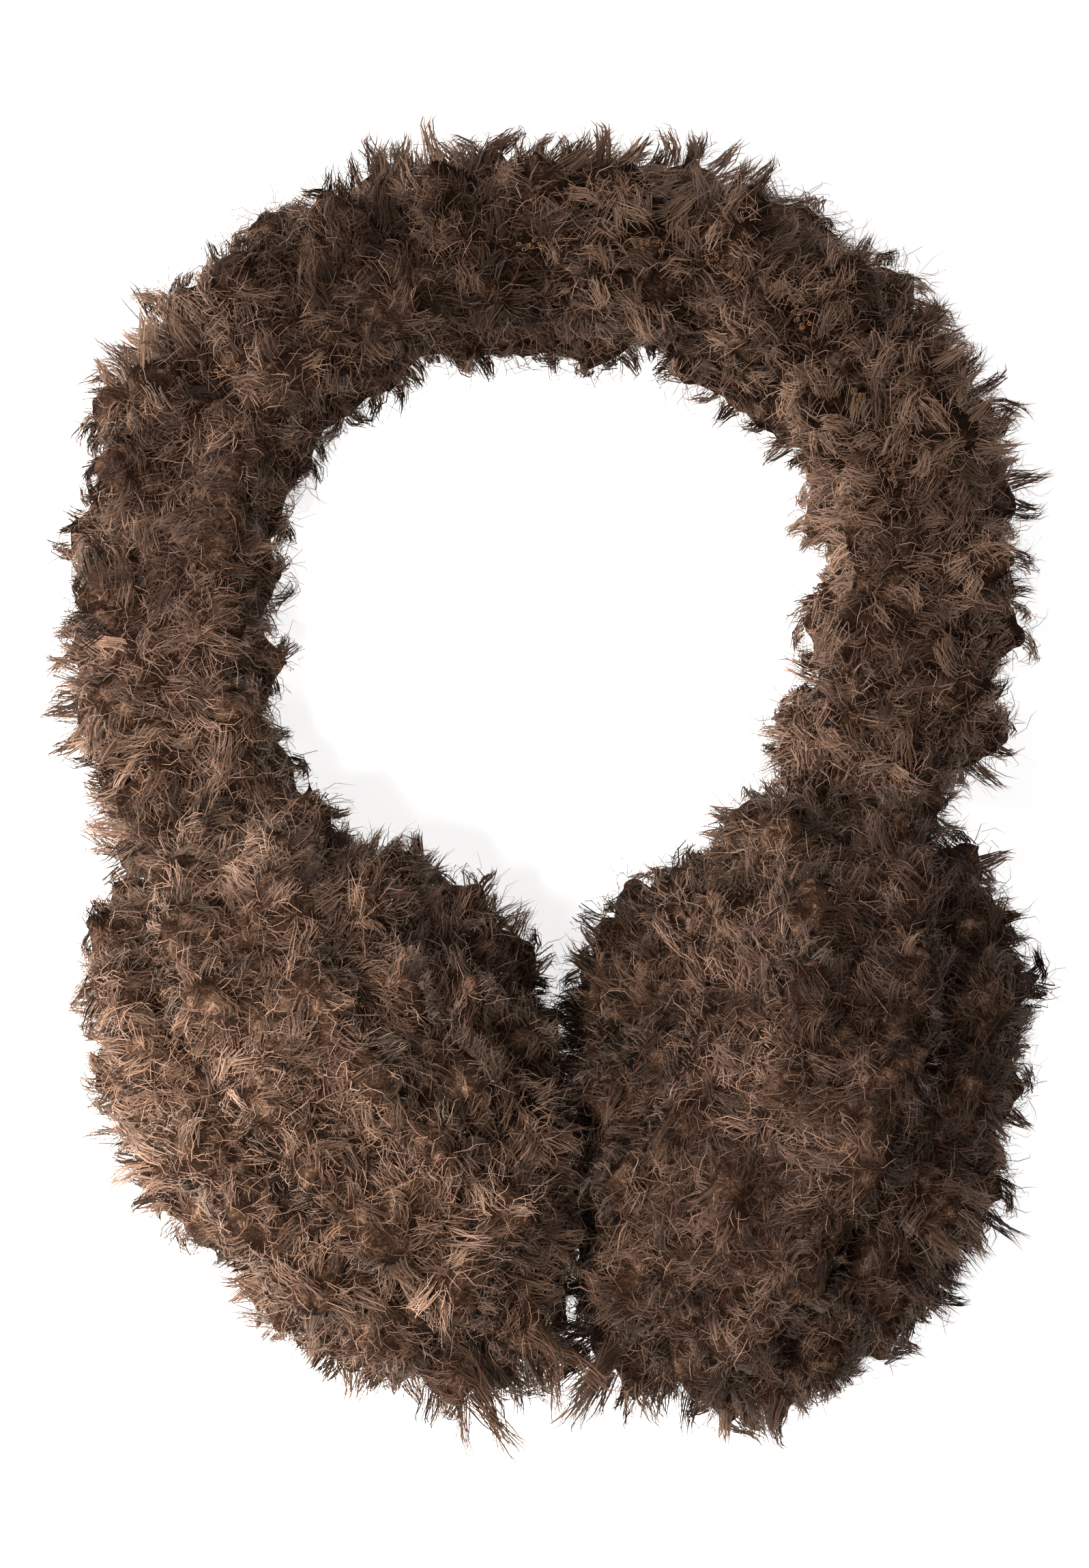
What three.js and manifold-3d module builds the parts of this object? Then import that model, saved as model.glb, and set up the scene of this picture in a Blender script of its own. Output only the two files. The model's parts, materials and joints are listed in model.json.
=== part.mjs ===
// Curly-pile earmuffs lying on a table, in millimetres. A padded band arches between two plump round
// cups. Each cup is two furry halves sewn together round the rim: an ear pad that leans on the other
// cup's pad, and an outer cover. +X runs from the left cup to the right one, +Y from the cups to the
// top of the band, and +Z up from the table. The origin is under the middle of the whole.
import * as THREE from "three";
import { mergeVertices } from "three/addons/utils/BufferGeometryUtils.js";
import Module from "manifold-3d";

const wasm = await Module();
wasm.setup();

// Cups: the sewn backing under the pile, and how deep each half stands from the rim seam
const cupBackingRadius = 50.5;
const padDepth = 30;
const coverDepth = 25;
const padPlumpness = 2.75;
const coverPlumpness = 2.15;
const cupPile = 11;
const cupPress = 6;
const cupMattedShare = 0.82;
const seamGap = 0.4;

// Where the cups lie: their distance below the arch's springing line and from its middle, in
// millimetres, and how each pad is turned, in degrees
const leftCupDrop = 88.5;
const rightCupDrop = 88;
const leftCupOffset = 33.3;
const rightCupOffset = 44.8;
const leftPadTurn = 38;
const rightPadTurn = 159;
const leftPadLift = 18;
const rightPadLift = 24.5;
const padContactShare = 0.51;
const padContactGap = 0.4;

// Band: the arch of its middle line, and the section of its sewn backing. The fullness is how much
// longer the section's outline is than an ellipse's.
const bandHalfSpan = 67.5;
const bandShift = 2;
const bandRise = 63.5;
const bandSquareness = 2.4;
const bandTilt = 5;
const bandWidth = 32;
const bandThickness = 24;
const bandRoundness = 0.85;
const bandFullness = 1.06;
const bandPile = 11;
const bandPress = 3;
const bandClearance = 0.4;

// Legs: where they meet the cups, in degrees below the level, how deep they are sewn in, and how far
// the bends reach at the arch and at the cup, as shares of the leg's run
const bandJointAngle = 33;
const bandSeat = 5;
const legBendAtArch = 0.5;
const legBendAtCup = 0.2;

// Locks: the tapered tufts that the pile stands in. Root width is a share of the lock's width, and the
// waist is where it is widest: its height as a share of the length, its bend as a share of the lean.
const lockSpacing = 17.3;
const lockWidth = 18;
const lockThickness = 14;
const lockRoot = 3;
const lockLean = 7;
const lockRootWidth = 0.85;
const lockWaistHeight = 0.4;
const lockWaistBend = 0.25;
const fewestLocksInRing = 3;
const rowStagger = 0.5;

// How a dome's locks lean: the share at the pole, and how late they straighten towards the rim
const poleLean = 1.1;
const rimPower = 3;

// What differs from lock to lock: length, lean and step are shares, and the swirl is in radians
const lockLength = { low: 0.85, high: 1.15 };
const domeStep = { low: -0.175, high: 0.175 };
const domeSwirl = { low: -0.8, high: 0.8 };
const bandStep = { low: -0.2, high: 0.2 };
const bandLeanAround = { low: 0.5, high: 1.5 };
const bandLeanAlong = { low: -1, high: 1 };
const bandLean = { low: 0.6, high: 1.1 };

// Seeds of what differs
const bandSeed = 77;
const leftCupSeed = 11;
const rightCupSeed = 23;

// Facets, and the distance within which points are the same
const domeSegments = 14;
const domeSteps = 4;
const bandStations = 17;
const bandSides = 8;
const sameDistance = 1e-4;
const pathEnd = 0.001;

const pileColor = 0x54402f;
const padColor = 0x4e3a2f;
const pileRoughness = 0.92;

const UP = new THREE.Vector3(0, 0, 1);

// A stream of numbers between a range's ends, the same at each build.
function makeRandom(seed) {
  const factor = 1664525;
  const step = 1013904223;
  const cycle = 2 ** 32;
  let state = seed;
  return (range) => {
    state = (state * factor + step) % cycle;
    return range.low + (range.high - range.low) * (state / cycle);
  };
}

function signedPower(value, power) {
  return Math.sign(value) * Math.abs(value) ** power;
}

function toSolid(geometry) {
  const bare = geometry.clone();
  bare.deleteAttribute("normal");
  bare.deleteAttribute("uv");
  const merged = mergeVertices(bare, sameDistance);
  return new wasm.Manifold(
    new wasm.Mesh({
      numProp: 3,
      vertProperties: new Float32Array(merged.attributes.position.array),
      triVerts: new Uint32Array(merged.index.array),
    }),
  );
}

function toGeometry(solid) {
  const mesh = solid.getMesh();
  const geometry = new THREE.BufferGeometry();
  geometry.setAttribute("position", new THREE.BufferAttribute(mesh.vertProperties, 3));
  geometry.setIndex(new THREE.BufferAttribute(mesh.triVerts, 1));
  return geometry;
}

// A closed solid through rings of points, each ring with as many points and turned the same way. Its
// start is capped, and its end is capped too or runs to a point.
function loft(rings, tip) {
  const sides = rings[0].length;
  const points = tip ? [...rings.flat(), tip] : rings.flat();
  const last = (rings.length - 1) * sides;
  const faces = [];
  for (let ring = 0; ring + 1 < rings.length; ring += 1) {
    for (let side = 0; side < sides; side += 1) {
      const a = ring * sides + side;
      const b = ring * sides + ((side + 1) % sides);
      faces.push(a, b, b + sides, a, b + sides, a + sides);
    }
  }
  for (let side = 1; side + 1 < sides; side += 1) {
    faces.push(0, side + 1, side);
    if (!tip) faces.push(last, last + side, last + side + 1);
  }
  for (let side = 0; tip && side < sides; side += 1) {
    faces.push(last + side, last + ((side + 1) % sides), points.length - 1);
  }
  const geometry = new THREE.BufferGeometry();
  const positions = points.flatMap((point) => [point.x, point.y, point.z]);
  geometry.setAttribute("position", new THREE.Float32BufferAttribute(positions, 3));
  geometry.setIndex(faces);
  return toSolid(geometry);
}

// One lock: a flattened tapering horn that stands on the backing at root and bends over along lean.
function lock(root, outward, lean, length) {
  const across = new THREE.Vector3().crossVectors(outward, lean).normalize();
  const along = new THREE.Vector3().crossVectors(across, outward).normalize();
  const pointAt = (rise, bend) =>
    root.clone().addScaledVector(outward, rise).addScaledVector(along, bend * lean.length());
  const rows = [
    { rise: -lockRoot, bend: 0, width: lockRootWidth },
    { rise: lockWaistHeight * length, bend: lockWaistBend, width: 1 },
  ];
  const rings = rows.map((row) => {
    const middle = pointAt(row.rise, row.bend);
    const halfWidth = (row.width * lockWidth) / 2;
    const halfThickness = (row.width * lockThickness) / 2;
    return [
      middle.clone().addScaledVector(across, halfWidth),
      middle.clone().addScaledVector(along, -halfThickness),
      middle.clone().addScaledVector(across, -halfWidth),
      middle.clone().addScaledVector(along, halfThickness),
    ];
  });
  return loft(rings, pointAt(length, 1));
}

// The half-section of a dome, from its pole on the axis to its rim: x is the radius, y the height.
class DomeProfile extends THREE.Curve {
  constructor(radius, depth, plumpness) {
    super();
    this.radius = radius;
    this.depth = depth;
    this.power = 2 / plumpness;
  }
  getPoint(share, target = new THREE.Vector2()) {
    const angle = (share * Math.PI) / 2;
    return target.set(
      this.radius * Math.max(Math.sin(angle), 0) ** this.power,
      this.depth * Math.max(Math.cos(angle), 0) ** this.power,
    );
  }
}

// A dome turned about the Y axis, with its flat side at height 0.
function domeSolid(profile) {
  const points = [new THREE.Vector2(0, 0)];
  for (let step = domeSteps; step > 0; step -= 1) {
    points.push(profile.getPointAt(step / domeSteps));
  }
  points[1].y = 0;
  points.push(new THREE.Vector2(0, profile.depth));
  return toSolid(new THREE.LatheGeometry(points, domeSegments));
}

// Rings of locks round a dome, a ring for each spacing of its half-section. Near the rim they stand
// straight out. A lock that keep turns down is left out.
function domeLocks(profile, seed, keep) {
  const random = makeRandom(seed);
  const length = profile.getLength();
  const rows = Math.round(length / lockSpacing);
  const locks = [];
  for (let row = 0; row < rows; row += 1) {
    const share = (row + 0.5) / rows;
    const point = profile.getPointAt(share);
    const tangent = profile.getTangentAt(share);
    const count = Math.max(fewestLocksInRing, Math.round((2 * Math.PI * point.x) / lockSpacing));
    for (let index = 0; index < count; index += 1) {
      const turn = ((index + rowStagger * (row % 2) + random(domeStep)) / count) * 2 * Math.PI;
      const swirl = random(domeSwirl);
      const stretch = random(lockLength);
      const radial = new THREE.Vector3(Math.cos(turn), 0, -Math.sin(turn));
      const root = radial.clone().multiplyScalar(point.x).setY(point.y);
      const outward = radial.clone().multiplyScalar(-tangent.y).setY(tangent.x);
      const downhill = radial.clone().multiplyScalar(tangent.x).setY(tangent.y);
      const lean = downhill
        .applyAxisAngle(outward, swirl)
        .multiplyScalar(lockLean * (poleLean - share ** rimPower));
      if (keep(root)) locks.push(lock(root, outward, lean, cupPile * stretch));
    }
  }
  return locks;
}

// Keeps the side of a world plane that normal points to. The solid is in the frame that matrix places.
function trimToWorldPlane(solid, matrix, normal, offset) {
  const back = matrix.clone().invert();
  const plane = new THREE.Plane(normal.clone(), -offset).applyMatrix4(back);
  return solid.trimByPlane(plane.normal.toArray(), -plane.constant);
}

function largestBody(solid) {
  return solid.decompose().reduce((a, b) => (a.volume() > b.volume() ? a : b));
}

// How a cup lies: its own Y axis is the way its pad faces, and its own X axis runs from its middle to
// the band's joint, which lies bandJointAngle below the level.
function cupPlace(x, y, turn, lift) {
  const turnAngle = THREE.MathUtils.degToRad(turn);
  const liftAngle = THREE.MathUtils.degToRad(lift);
  const facing = new THREE.Vector3(
    Math.cos(liftAngle) * Math.cos(turnAngle),
    Math.cos(liftAngle) * Math.sin(turnAngle),
    Math.sin(liftAngle),
  );
  const level = new THREE.Vector3().crossVectors(UP, facing).normalize();
  if (level.y < 0) level.negate();
  const steep = new THREE.Vector3().crossVectors(facing, level);
  if (steep.z > 0) steep.negate();
  const jointAngle = THREE.MathUtils.degToRad(bandJointAngle);
  const joint = level
    .clone()
    .multiplyScalar(Math.cos(jointAngle))
    .addScaledVector(steep, Math.sin(jointAngle));
  const third = new THREE.Vector3().crossVectors(joint, facing);
  const height =
    Math.hypot((coverDepth + cupPile) * facing.z, (cupBackingRadius + cupPile) * Math.cos(liftAngle)) -
    cupPress;
  const middle = new THREE.Vector3(x, y, height);
  const matrix = new THREE.Matrix4().makeBasis(joint, facing, third).setPosition(middle);
  return { middle, facing, joint, matrix };
}

// One half of a cup in the cup's own frame: a dome of backing under locks, with the pile matted flat
// where it rests on the table, trimmed at the rim seam and where the two pads press together.
function cupHalf(place, side, depth, plumpness, seed, contact) {
  const flip = new THREE.Matrix4();
  if (side < 0) flip.makeRotationX(Math.PI);
  const profile = new DomeProfile(cupBackingRadius, depth, plumpness);
  const jointReach = bandWidth / 2 + lockWidth / 2;
  const mattedHeight = cupPile - cupPress + lockRoot;
  const standsFree = (root) => {
    const inCup = root.clone().applyMatrix4(flip);
    const clearOfJoint = inCup.distanceTo(new THREE.Vector3(cupBackingRadius, 0, 0)) > jointReach;
    return clearOfJoint && inCup.applyMatrix4(place.matrix).z > mattedHeight;
  };
  const locks = domeLocks(profile, seed, standsFree);
  const toCup = (solid) => solid.transform(flip.elements);
  let solid = toCup(locks.reduce((sum, one) => sum.add(one), domeSolid(profile)));

  const mattedReach = cupMattedShare * cupPile;
  const matted = new DomeProfile(cupBackingRadius + mattedReach, depth + mattedReach, plumpness);
  const patch = trimToWorldPlane(
    toCup(domeSolid(matted)),
    place.matrix,
    UP.clone().negate(),
    -mattedHeight,
  );
  solid = solid.add(patch);
  solid = trimToWorldPlane(solid, place.matrix, UP, 0);
  solid = trimToWorldPlane(solid, place.matrix, contact.normal, contact.offset);
  return largestBody(solid.trimByPlane([0, side, 0], seamGap / 2));
}

function bandHeightAt(y) {
  const top = bandWidth / 2 + bandPile - bandPress;
  return top + (bandRise - y) * Math.tan(THREE.MathUtils.degToRad(bandTilt));
}

// The middle line of the arch, a squarish half ellipse on the tilted plane.
class Arch extends THREE.Curve {
  getPoint(share, target = new THREE.Vector3()) {
    const angle = Math.PI * (1 - share);
    const power = 2 / bandSquareness;
    const y = bandRise * Math.max(Math.sin(angle), 0) ** power;
    const x = bandShift + bandHalfSpan * signedPower(Math.cos(angle), power);
    return target.set(x, y, bandHeightAt(y));
  }
}

// A leg of the band, from the arch's end down to its seat on the cup's rim.
function bandLeg(side, place) {
  const top = new THREE.Vector3(bandShift + side * bandHalfSpan, 0, bandHeightAt(0));
  const foot = place.middle.clone().addScaledVector(place.joint, cupBackingRadius - bandSeat);
  const run = top.distanceTo(foot);
  return new THREE.CubicBezierCurve3(
    top,
    top.clone().add(new THREE.Vector3(0, -legBendAtArch * run, 0)),
    foot.clone().addScaledVector(place.joint, legBendAtCup * run),
    foot,
  );
}

function bandPath(left, right) {
  const leftLeg = bandLeg(-1, left);
  const path = new THREE.CurvePath();
  path.add(new THREE.CubicBezierCurve3(leftLeg.v3, leftLeg.v2, leftLeg.v1, leftLeg.v0));
  path.add(new Arch());
  path.add(bandLeg(1, right));
  return path;
}

// The band's own directions at a share of its path: along it, across its width and through it.
function bandFrame(path, share) {
  const tilt = THREE.MathUtils.degToRad(bandTilt);
  const along = path.getTangent(THREE.MathUtils.clamp(share, pathEnd, 1 - pathEnd));
  const wide = new THREE.Vector3(0, Math.sin(tilt), Math.cos(tilt)).projectOnPlane(along).normalize();
  const through = new THREE.Vector3().crossVectors(wide, along);
  return { middle: path.getPoint(share), along, wide, through };
}

// A point of the band's rounded section and the way out of the band there. Angle 90 degrees is the
// seam edge, on top as the band lies.
function bandSection(frame, angle) {
  const sideways = signedPower(Math.cos(angle), bandRoundness);
  const upward = signedPower(Math.sin(angle), bandRoundness);
  const root = frame.middle
    .clone()
    .addScaledVector(frame.through, (sideways * bandThickness) / 2)
    .addScaledVector(frame.wide, (upward * bandWidth) / 2);
  const outward = frame.through
    .clone()
    .multiplyScalar(Math.cos(angle) / bandThickness)
    .addScaledVector(frame.wide, Math.sin(angle) / bandWidth)
    .normalize();
  return { root, outward };
}

function bandLocks(path) {
  const random = makeRandom(bandSeed);
  const perimeter = (Math.PI * (bandWidth + bandThickness) * bandFullness) / 2;
  const count = 2 * Math.round(perimeter / lockSpacing / 2);
  const rows = Math.round(path.getLength() / lockSpacing);
  const locks = [];
  for (let row = 1; row + 1 < rows; row += 1) {
    for (let index = 0; index < count; index += 1) {
      const step = rowStagger * (index % 2) + random(bandStep);
      const frame = bandFrame(path, (row + step) / rows);
      const angle = Math.PI / 2 + ((index + 0.5) / count) * 2 * Math.PI;
      const { root, outward } = bandSection(frame, angle);
      const aroundSign = -Math.sign(Math.cos(angle)) || 1;
      const around = new THREE.Vector3().crossVectors(frame.along, outward).multiplyScalar(aroundSign);
      const lean = around
        .multiplyScalar(random(bandLeanAround))
        .addScaledVector(frame.along, random(bandLeanAlong))
        .normalize()
        .multiplyScalar(lockLean * random(bandLean));
      const stretch = random(lockLength);
      locks.push(lock(root, outward, lean, bandPile * stretch));
    }
  }
  return locks;
}

// Cuts other out of solid with a clearance all round, by cutting copies moved a little each way.
function cutWithClearance(solid, other, clearance) {
  const ways = [-1, 1].flatMap((a) => [-1, 1].flatMap((b) => [-1, 1].map((c) => [a, b, c])));
  return ways.reduce(
    (rest, way) => rest.subtract(other.translate(way.map((one) => one * clearance))),
    solid,
  );
}

function band(left, right, cups) {
  const path = bandPath(left, right);
  const rings = [];
  for (let station = 0; station <= bandStations; station += 1) {
    const frame = bandFrame(path, station / bandStations);
    const ring = [];
    for (let side = 0; side < bandSides; side += 1) {
      ring.push(bandSection(frame, (side / bandSides) * 2 * Math.PI).root);
    }
    rings.push(ring);
  }
  let solid = bandLocks(path).reduce((sum, one) => sum.add(one), loft(rings));
  solid = solid.trimByPlane([0, 0, 1], 0);
  for (const cup of cups) solid = cutWithClearance(solid, cup, bandClearance);
  return largestBody(solid);
}

function furMaterial(color) {
  return new THREE.MeshStandardMaterial({ color, roughness: pileRoughness, metalness: 0 });
}

function furMesh(name, solid, color) {
  const mesh = new THREE.Mesh(toGeometry(solid), furMaterial(color));
  mesh.name = name;
  return mesh;
}

// The two cups lean on each other at an upright plane between their middles.
function contactPlane(place, other, share) {
  const normal = place.middle.clone().sub(other.middle).setZ(0).normalize();
  const point = other.middle.clone().lerp(place.middle, share);
  return { normal, offset: normal.dot(point) + padContactGap / 2 };
}

function cupGroup(name, place, contact, seed) {
  const pad = cupHalf(place, 1, padDepth, padPlumpness, seed, contact);
  const cover = cupHalf(place, -1, coverDepth, coverPlumpness, seed + 1, contact);
  const group = new THREE.Group();
  group.add(furMesh(`${name}_ear_pad`, pad, padColor));
  group.add(furMesh(`${name}_outer_cover`, cover, pileColor));
  group.applyMatrix4(place.matrix);
  const inWorld = [pad, cover].map((half) => half.transform(place.matrix.elements));
  return { group, inWorld };
}

const leftPlace = cupPlace(-leftCupOffset, -leftCupDrop, leftPadTurn, leftPadLift);
const rightPlace = cupPlace(rightCupOffset, -rightCupDrop, rightPadTurn, rightPadLift);
const leftContact = contactPlane(leftPlace, rightPlace, 1 - padContactShare);
const rightContact = contactPlane(rightPlace, leftPlace, padContactShare);
const leftCup = cupGroup("left", leftPlace, leftContact, leftCupSeed);
const rightCup = cupGroup("right", rightPlace, rightContact, rightCupSeed);
const bandSolid = band(leftPlace, rightPlace, [...leftCup.inWorld, ...rightCup.inWorld]);

const earmuffs = new THREE.Group();
earmuffs.add(furMesh("headband", bandSolid, pileColor));
earmuffs.add(leftCup.group, rightCup.group);
const box = new THREE.Box3().setFromObject(earmuffs, true);
const centre = box.getCenter(new THREE.Vector3());
earmuffs.position.set(-centre.x, -centre.y, -box.min.z);

export default earmuffs;
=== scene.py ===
"""Curly-pile earmuffs as they lie on a pale table, seen from above.

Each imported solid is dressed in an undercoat, which is its padded backing with the dense short wool,
and in a pile, which is the long curly wool that stands on it in locks, hair by hair. Where the pile parts
along the band's seam, a few yarn loops of the knit backing show.
Lengths are in metres, and angles in radians unless a name says degrees.
"""
import json
import math

import bpy
import numpy as np
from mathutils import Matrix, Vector
from mathutils.bvhtree import BVHTree
from mathutils.kdtree import KDTree


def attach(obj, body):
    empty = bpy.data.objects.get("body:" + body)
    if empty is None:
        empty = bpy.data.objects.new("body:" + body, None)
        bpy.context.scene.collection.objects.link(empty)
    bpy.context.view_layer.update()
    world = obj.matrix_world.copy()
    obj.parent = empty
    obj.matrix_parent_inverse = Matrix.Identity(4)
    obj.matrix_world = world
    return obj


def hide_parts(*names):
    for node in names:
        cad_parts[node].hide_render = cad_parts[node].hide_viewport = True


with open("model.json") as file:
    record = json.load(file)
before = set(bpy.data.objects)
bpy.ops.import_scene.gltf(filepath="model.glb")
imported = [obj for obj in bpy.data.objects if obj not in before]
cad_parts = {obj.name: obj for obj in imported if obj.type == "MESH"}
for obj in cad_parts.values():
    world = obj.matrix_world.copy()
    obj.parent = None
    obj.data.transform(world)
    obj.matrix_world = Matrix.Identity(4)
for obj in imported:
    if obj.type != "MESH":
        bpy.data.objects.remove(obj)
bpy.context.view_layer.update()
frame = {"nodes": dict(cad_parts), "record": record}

MM = 0.001

# Photo frame: its height in pixels, the width that one pixel covers, and where its middle looks
PHOTO_HEIGHT = 2298
PHOTO_STEP = 0.12 * MM
PHOTO_CENTRE = (-0.5 * MM, -0.7 * MM)
CAMERA_HEIGHT = 1.7
FOCUS_HEIGHT = 58 * MM
SENSOR_WIDTH = 36.0

# Lights: where they stand and what they look at, their sizes and their powers in watts
KEY_PLACE = (-0.9, 0.08, 0.36)
KEY_SIZE = 0.3
KEY_POWER = 13.0
MIDDLE = (0.0, 0.0, 40 * MM)
CUP_LIGHT_PLACE = (-0.16, -0.1, 0.55)
CUP_LIGHT_SIZE = 0.12
CUP_LIGHT_POWER = 0.3
CUP_LIGHT_SPREAD = 38
LEFT_CUP = (-60 * MM, -70 * MM, 60 * MM)
ROOM_GLOW = 0.44
LIGHT_TINT = (1.0, 0.97, 0.94)

# Table top: half its side, and how much it glows, so that it stays as pale as paper
FLOOR_HALF = 4.0
FLOOR_GLOW = 0.75

# Undercoat: the even skin under the locks, sunk below the solid, and the mounds that the locks raise in it
SKIN_STEP = 2.1 * MM
SKIN_PASSES = 40
SKIN_SETTLING = 0.5
SKIN_SINK = 2.5 * MM
MOUND_RADIUS = 2.8 * MM
MOUND_HEIGHT = 0.9 * MM
MOUND_DIP = 0.4 * MM
MOUND_LEAN = 0.3

# Locks: where they stand and how they grow, and how much painted shade darkens them near a crease
LOCK_SPACING = 3.3 * MM
LOCK_RADIUS = 2.3 * MM
LOCK_LENGTH = 8.3 * MM
CANDIDATES_PER_LOCK = 9
UNDERSIDE = -0.45
UNDERSIDE_SHARE = 0.35
HIDDEN_REACH = 4.5 * MM
CREASE_REACH = 11 * MM
CREASE_PUSH = 1.1
FLOOR_CLEARANCE = 0.3 * MM
GUIDE_STEPS = 24
STRAIGHT_SHARE = 0.18
CREASE_SHORTENING = 0.1
CREASE_PAINTED_SHADE = 0.45

# How locks differ: sizes, closeness and wave depths from least to most, and bends in degrees
LOCK_SIZES = (0.72, 1.15)
LOCK_CLOSENESS = (0.3, 0.65)
LEAVING_DEGREES = (8, 52)
STRAIGHT_DEGREES = (35, 90)
CURLED_DEGREES = (105, 250)
TWIST_DEGREES = 80
WAVE_DEPTHS = (0.2, 0.6)
WAVE_BEATS = 1.3
BEND_POWER = 1.5
LOCK_TONE_SPREAD = 0.15

# How neighbouring locks are alike: the way that they are combed, and how light they are
COMB_WAVELENGTH = 42 * MM
COMB_SPREAD = 0.5
COMB_SEED = 21
FRINGE_PULL = 2.5
FRINGE_FACING = 0.25
PATCH_WAVELENGTH = 26 * MM
PATCH_TONE = 0.06
PATCH_SEED = 22
SWIRL_WAVES = 7
SWIRL_RANGE = (0.7, 1.6)

# Around the sides, where the outline shows them, hairs are stouter and many locks are short points; locks
# there and in the fringes are painted lighter, as painted light
RIM_FACING = 0.5
RIM_STOUTNESS = 1.25
RIM_PAINTED_LIGHT = 0.12
FRINGE_PAINTED_LIGHT = 0.12
POINT_SHARE = 0.5
POINT_LENGTH = 0.75
POINT_CLOSENESS = 0.25

# How far each hair strays from its lock in leaving, bending, twisting, and the depth and start of waves
SHAPE_JITTER = np.array([0.1, 0.24, 0.22, 0.1, 0.35])

# A hair is a flat tapering ribbon with a pointed tip, rolled about its length by so many radians at most
HAIR_STOPS = np.array([0.09, 0.4, 0.72, 1.0])
HAIR_WIDTHS = np.array([0.9, 1.0, 0.8])
HAIR_WIDTH = 0.21 * MM
HAIR_TRIANGLES = 2 * (len(HAIR_WIDTHS) - 1) + 1
HAIR_ROLL = 1.25
SKIN_SHADING = 0.62
HAIR_ROUNDNESS = 0.35

# How the hairs of a lock differ, and how they gather towards its tip
HAIR_LENGTHS = (0.66, 1.12)
HAIR_STOUTNESS = (0.75, 1.2)
HAIR_TONE_SPREAD = 0.1
HAIR_FRIZZ = 0.5 * MM
FRIZZ_BEATS = (1.0, 2.4)
GATHER_POWER = 0.8

# Stray hairs are finer, lighter and more unruly than those of the locks that they stand beside; their
# lightness is partly paler hair and partly painted highlight
STRAY_SHARE = 0.33
STRAY_TURN = 1.6
STRAY_LENGTHS = (0.55, 1.1)
STRAY_REACH = 1.3 * LOCK_RADIUS
STRAY_FRIZZ = 0.8 * MM
STRAY_WIDTH = 0.55 * HAIR_WIDTH
STRAY_STOUTNESS = (0.8, 1.2)
STRAY_PALENESS_AND_GLINT = 0.35
STRAY_TONE_SPREAD = 0.12

# Tones: a row of the map for each tone of wool, with fine streaks across it
TONES = 8
TONE_MARGIN = 0.04
STREAKS = 130.0
HAIR_SPAN = 0.003
MAP_MARGIN = 0.01

# How a hair is coloured: (share of its length, amount) pairs for the painted shade at its root and for its
# lighter tip, which is partly paler hair and partly painted light, and its warm streaks
ROOT_SHADES = ((0.0, 1.0), (0.55, 0.35), (0.85, 0.0))
TIP_PALENESS_AND_PAINTED_LIGHT = ((0.55, 0.0), (0.95, 1.0))
WARM_STREAKS = ((0.5, 0.0), (0.75, 0.55))
STREAK_DETAIL = 1.5
ROW_SHIFT = 3.7
DARK_HAIR_ROUGHNESS = 0.66
LIGHT_HAIR_SMOOTHING = 0.16

# Matted wool of the undercoat: how its tufts drift, turn and dip, and (height, amount) pairs for its
# shades; the dips between tufts are painted darker, as painted shade, and the highest tones get painted
# glints, as painted highlight
DRIFT_PER_METRE = 300.0
DRIFT_REACH = 6 * MM
TUFT_TURN = 6.3
TUFT_DIP_AND_SHADE = 0.45
TUFT_TONE = 0.22
MATTED_DETAIL = 3.0
MATTED_RUN = 0.13
MATTED_SHADES = ((0.24, 0.0), (0.52, 1.0))
MATTED_PAINTED_GLINTS = ((0.48, 0.0), (0.72, 0.55))

# Where longer straight locks stand out of the outline: the middle and radius of each patch, how much
# longer they are, and the way they point in plan, in degrees from +X
FRINGES = [
    {"x": -25 * MM, "y": 107 * MM, "radius": 9 * MM, "stretch": 1.1, "way": 85},
    {"x": -8 * MM, "y": 110 * MM, "radius": 10 * MM, "stretch": 1.15, "way": 55},
    {"x": 12 * MM, "y": 110 * MM, "radius": 12 * MM, "stretch": 1.2, "way": 35},
    {"x": 31 * MM, "y": 105 * MM, "radius": 9 * MM, "stretch": 1.15, "way": 40},
    {"x": 72 * MM, "y": 78 * MM, "radius": 11 * MM, "stretch": 1.3, "way": 40},
    {"x": 81 * MM, "y": 60 * MM, "radius": 9 * MM, "stretch": 1.04, "way": 10},
    {"x": -72 * MM, "y": 76 * MM, "radius": 11 * MM, "stretch": 1.25, "way": 140},
    {"x": -78 * MM, "y": 15 * MM, "radius": 12 * MM, "stretch": 1.12, "way": 200},
    {"x": -74 * MM, "y": -5 * MM, "radius": 11 * MM, "stretch": 1.2, "way": 165},
    {"x": -73 * MM, "y": -70 * MM, "radius": 10 * MM, "stretch": 1.15, "way": 205},
    {"x": 70 * MM, "y": -80 * MM, "radius": 11 * MM, "stretch": 1.15, "way": -40},
    {"x": -9 * MM, "y": -104 * MM, "radius": 11 * MM, "stretch": 2.1, "way": -25},
    {"x": 7 * MM, "y": -104 * MM, "radius": 10 * MM, "stretch": 2.1, "way": -145},
    {"x": 17 * MM, "y": -112 * MM, "radius": 8 * MM, "stretch": 1.08, "way": -100},
    {"x": 34 * MM, "y": -112 * MM, "radius": 10 * MM, "stretch": 1.05, "way": -80},
]

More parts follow.
